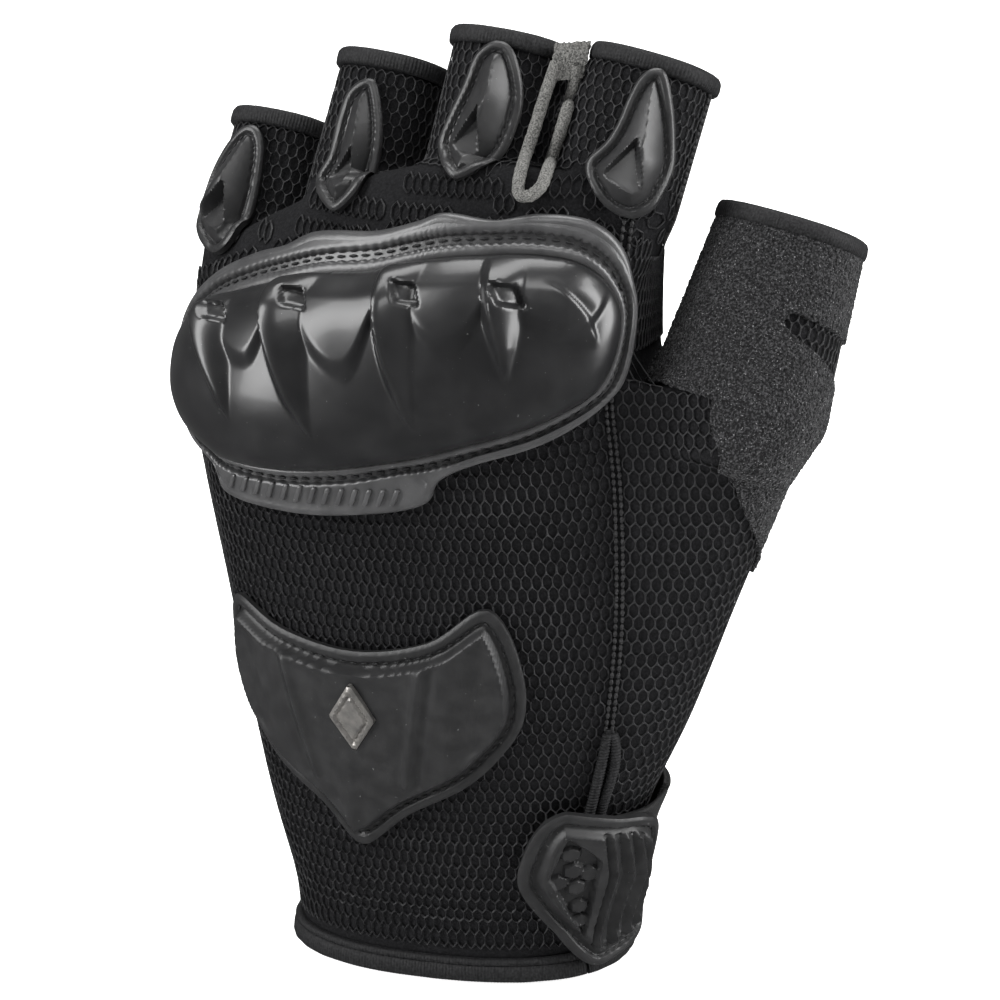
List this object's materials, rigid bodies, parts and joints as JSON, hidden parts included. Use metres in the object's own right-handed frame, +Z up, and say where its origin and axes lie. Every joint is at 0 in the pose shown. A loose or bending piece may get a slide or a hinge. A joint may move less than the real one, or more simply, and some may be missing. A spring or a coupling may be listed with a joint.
{
  "type": "fingerless riding glove",
  "caption": "Fingerless riding glove for the left hand, with a hard claw-shaped knuckle guard, rubber finger caps, a plate on the back and a wrist closure tab.",
  "frame": {"origin": "centre of the cuff's opening, in the plane of the hem", "axes": "+Z up the hand towards the fingers, +Y towards the palm, -Y the back of the hand, +X towards the thumb"},
  "size_m": [0.1304, 0.0686, 0.1808],
  "materials": {
    "knit": "open knitted air mesh, black",
    "suede": "synthetic suede, black",
    "binding": "ribbed woven tape, black",
    "towelling": "looped towelling, black flecked with grey",
    "grey_tape": "knitted tape, heather grey",
    "thread": "sewing thread, charcoal",
    "foam": "soft foam pad",
    "rubber": "moulded rubber, satin",
    "guard_rubber": "moulded rubber, satin grey",
    "guard_gloss": "glossy black shell",
    "pewter": "pewter-coloured inlay"
  },
  "bodies": {
    "hand": {"back_panel": "knit", "palm_panel": "suede", "thumb_gusset": "knit", "index_side_panel": "knit", "thumb_web": "knit", "finger_webs": "knit", "back_lining": "suede", "cuff_binding": "binding", "slit_binding": "binding", "knuckle_foam": "foam", "guard_frame": "guard_rubber", "guard_shell": "guard_gloss", "guard_stitching": "thread", "back_plate": "rubber", "back_plate_lozenge": "pewter", "back_plate_stitching": "thread", "palm_patch": "suede", "heel_pad": "suede", "loop_patch": "binding", "strap_anchor": "binding", "wipe_patch_tail": "towelling"},
    "thumb": {"thumb_back": "knit", "thumb_palm": "suede", "thumb_wipe_patch": "towelling", "thumb_hem": "binding"},
    "index": {"index_back": "knit", "index_palm": "suede", "index_cap": "rubber", "index_cap_stitching": "thread", "index_hem": "binding", "pull_loop": "grey_tape"},
    "middle": {"middle_back": "knit", "middle_palm": "suede", "middle_cap": "rubber", "middle_cap_stitching": "thread", "middle_hem": "binding"},
    "ring": {"ring_back": "knit", "ring_palm": "suede", "ring_cap": "rubber", "ring_cap_stitching": "thread", "ring_hem": "binding"},
    "little": {"little_back": "knit", "little_palm": "suede", "little_cap": "rubber", "little_cap_stitching": "thread", "little_hem": "binding"},
    "strap": {"closure_strap": "binding", "hook_patch": "binding", "closure_tab": "rubber", "tab_stitching": "thread"}
  },
  "joints": [
    {"name": "little_flex", "type": "hinge", "parent": "hand", "child": "little", "pos_m": [-0.0355, 0.01283, 0.13492], "axis": [-1, 0, 0], "range_deg": [0, 40], "stiffness_Nm_per_rad": 0.03},
    {"name": "ring_flex", "type": "hinge", "parent": "hand", "child": "ring", "pos_m": [-0.0105, 0.00582, 0.14383], "axis": [-1, 0, 0], "range_deg": [0, 40], "stiffness_Nm_per_rad": 0.03},
    {"name": "middle_flex", "type": "hinge", "parent": "hand", "child": "middle", "pos_m": [0.0145, 0.00326, 0.14849], "axis": [-1, 0, 0], "range_deg": [0, 40], "stiffness_Nm_per_rad": 0.03},
    {"name": "index_flex", "type": "hinge", "parent": "hand", "child": "index", "pos_m": [0.04, 0.00523, 0.14886], "axis": [-1, 0, 0], "range_deg": [0, 40], "stiffness_Nm_per_rad": 0.03},
    {"name": "thumb_flex", "type": "hinge", "parent": "hand", "child": "thumb", "pos_m": [0.063, 0.002, 0.112], "axis": [-0.9744, 0, 0.225], "range_deg": [0, 25], "stiffness_Nm_per_rad": 0.05},
    {"name": "strap_peel", "type": "hinge", "parent": "hand", "child": "strap", "pos_m": [0.04084, 0.00275, 0.02075], "axis": [0.2908, 0.0285, 0.9564], "range_deg": [0, 100]}
  ]
}
